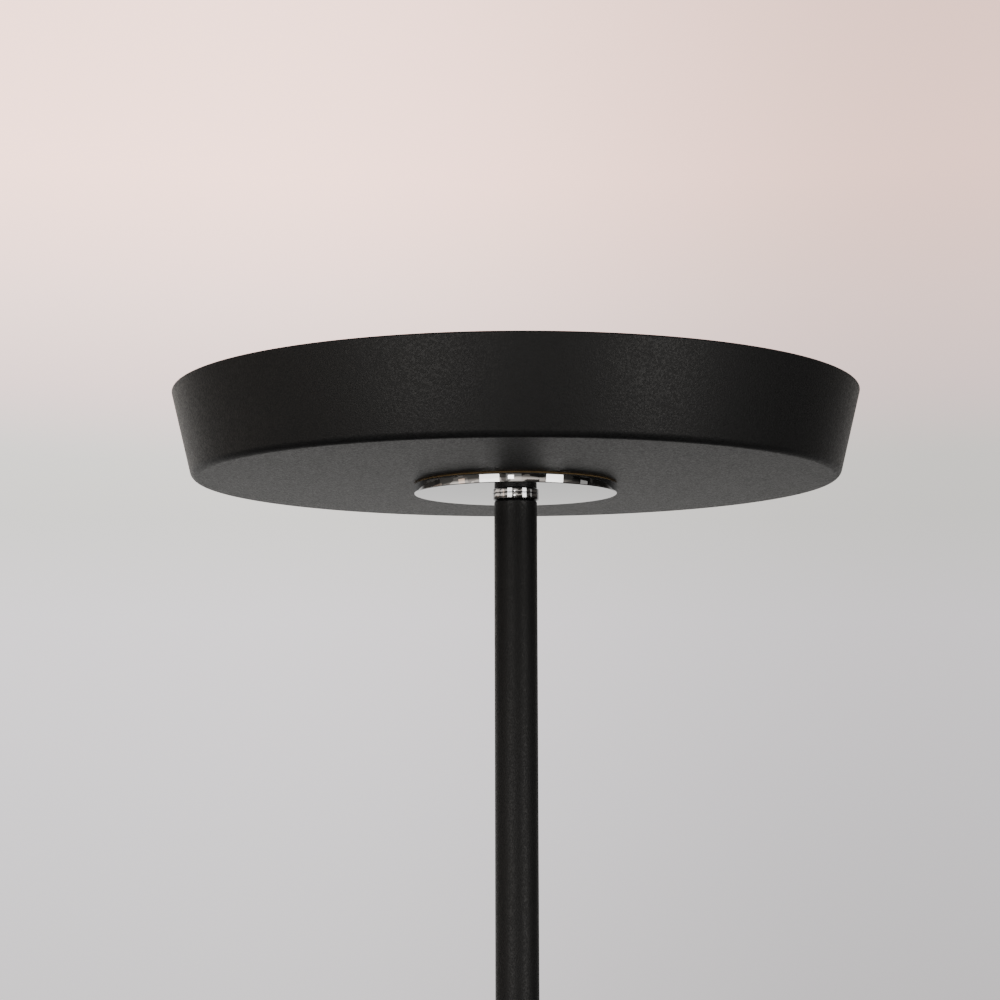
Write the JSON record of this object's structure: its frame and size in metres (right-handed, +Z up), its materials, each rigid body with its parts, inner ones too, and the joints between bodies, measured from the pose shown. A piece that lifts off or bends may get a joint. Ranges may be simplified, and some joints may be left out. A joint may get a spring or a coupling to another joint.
{
  "type": "torchiere floor lamp",
  "caption": "Uplighter floor lamp: shallow tapered LED tray on a slim screwed pole, with a rotary dimmer in the pole and a round weighted base.",
  "frame": {"origin": "on the floor under the centre of the pole, at the middle of the base's footprint", "axes": "+Z up along the pole; -Y is the front, where the dimmer knob points; +Y is the rear, where the flex enters the base"},
  "size_m": [0.254, 0.2544, 1.8],
  "materials": {
    "black_powder_coat": "fine-textured satin black powder coat",
    "polished_chrome": "polished chrome plate",
    "black_spring_steel": "blackened steel",
    "opal_diffuser": "opal acrylic, lit from below",
    "white_reflector": "matt white",
    "heat_plate_aluminium": "mill finish",
    "white_solder_mask": "white solder mask",
    "led_phosphor": "silicone with yellow phosphor",
    "zinc_steel": "bright zinc plate",
    "yellow_brass": "turned brass",
    "grey_cast_iron": "as cast",
    "black_rubber": "moulded rubber",
    "black_nylon": "moulded nylon, satin",
    "white_plastic": "moulded plastic",
    "green_solder_mask": "green solder mask",
    "component_plastic": "moulded component cases",
    "lead_sleeve": "black PVC sleeve",
    "core_insulation": "blue PVC core insulation"
  },
  "bodies": {
    "lamp": {"base_feet": "black_rubber", "bottom_plate": "zinc_steel", "plate_screws": "zinc_steel", "base_weight": "grey_cast_iron", "base_cover": "black_powder_coat", "flex_gland": "black_nylon", "terminal_block": "white_plastic", "terminal_screws": "yellow_brass", "input_wires": "core_insulation", "led_driver": "white_plastic", "driver_screws": "zinc_steel", "base_nut": "yellow_brass", "base_lock_washer": "zinc_steel", "base_washer": "zinc_steel", "base_nipple": "yellow_brass", "base_collar": "polished_chrome", "foot_insert": "zinc_steel", "pole_lower": "black_powder_coat", "joint_lower_insert": "zinc_steel", "joint_nipple": "yellow_brass", "joint_upper_insert": "zinc_steel", "pole_middle": "black_powder_coat", "dimmer_lower_insert": "zinc_steel", "dimmer_lower_nipple": "yellow_brass", "dimmer_body": "black_powder_coat", "dimmer_cover": "black_powder_coat", "dimmer_screws": "zinc_steel", "dimmer_board": "green_solder_mask", "dimmer_board_parts": "component_plastic", "potentiometer": "yellow_brass", "pot_washer": "zinc_steel", "pot_nut": "zinc_steel", "dimmer_upper_nipple": "yellow_brass", "dimmer_upper_insert": "zinc_steel", "pole_upper": "black_powder_coat", "head_insert": "zinc_steel", "head_nipple": "yellow_brass", "head_collar": "polished_chrome", "mount_disc": "polished_chrome", "head_shell": "black_powder_coat", "heat_plate": "heat_plate_aluminium", "head_washer": "zinc_steel", "head_lock_washer": "zinc_steel", "head_nut": "yellow_brass", "led_board": "white_solder_mask", "led_chips": "led_phosphor", "board_screws": "zinc_steel", "led_connector": "white_plastic", "reflector_ring": "white_reflector", "diffuser": "opal_diffuser", "diffuser_snap_ring": "black_spring_steel", "supply_lead": "lead_sleeve", "lamp_lead": "lead_sleeve"},
    "knob": {"pot_shaft": "zinc_steel", "dimmer_knob": "black_nylon", "knob_grub_screw": "black_spring_steel", "knob_cap": "polished_chrome"}
  },
  "joints": [
    {"name": "dimmer_turn", "type": "hinge", "parent": "lamp", "child": "knob", "pos_m": [0, -0.0145, 1.1837], "axis": [0, -1, 0], "range_deg": [-150, 150]}
  ]
}
